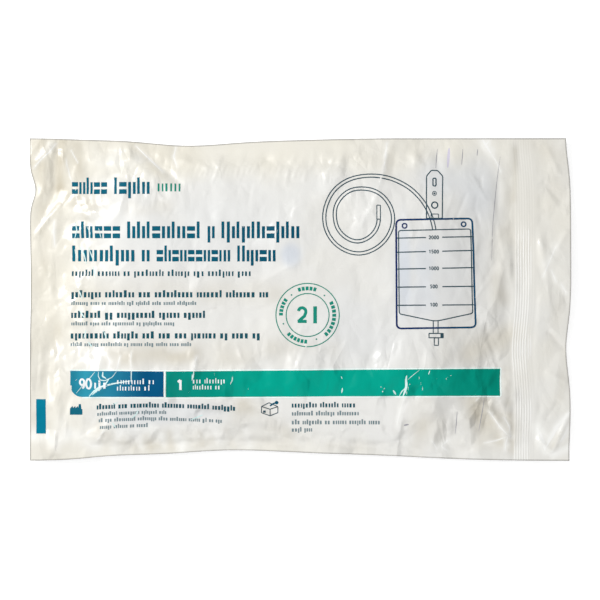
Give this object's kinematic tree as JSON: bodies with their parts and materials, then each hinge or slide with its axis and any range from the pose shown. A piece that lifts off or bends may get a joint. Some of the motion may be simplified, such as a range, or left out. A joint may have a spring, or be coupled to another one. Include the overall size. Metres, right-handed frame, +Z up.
{
  "type": "sealed film pouch of a urine drainage bag",
  "caption": "Flat milky film pouch, welded and ribbed-sealed at its ends, that holds a folded urine drainage bag; lies printed side up on a flat underside.",
  "frame": {"origin": "on the surface that the pouch lies on, under the middle of its outline", "axes": "+X along the pouch towards its ribbed seal and loose lip, +Y across it towards the edge that reads as the top of the print, +Z up out of the printed side"},
  "size_m": [0.265, 0.158, 0.0146],
  "materials": {
    "white_film": "milky satin polyethylene film, printed in teal, blue and green"
  },
  "bodies": {
    "root": {"sealed_pouch": "white_film"}
  },
  "joints": []
}
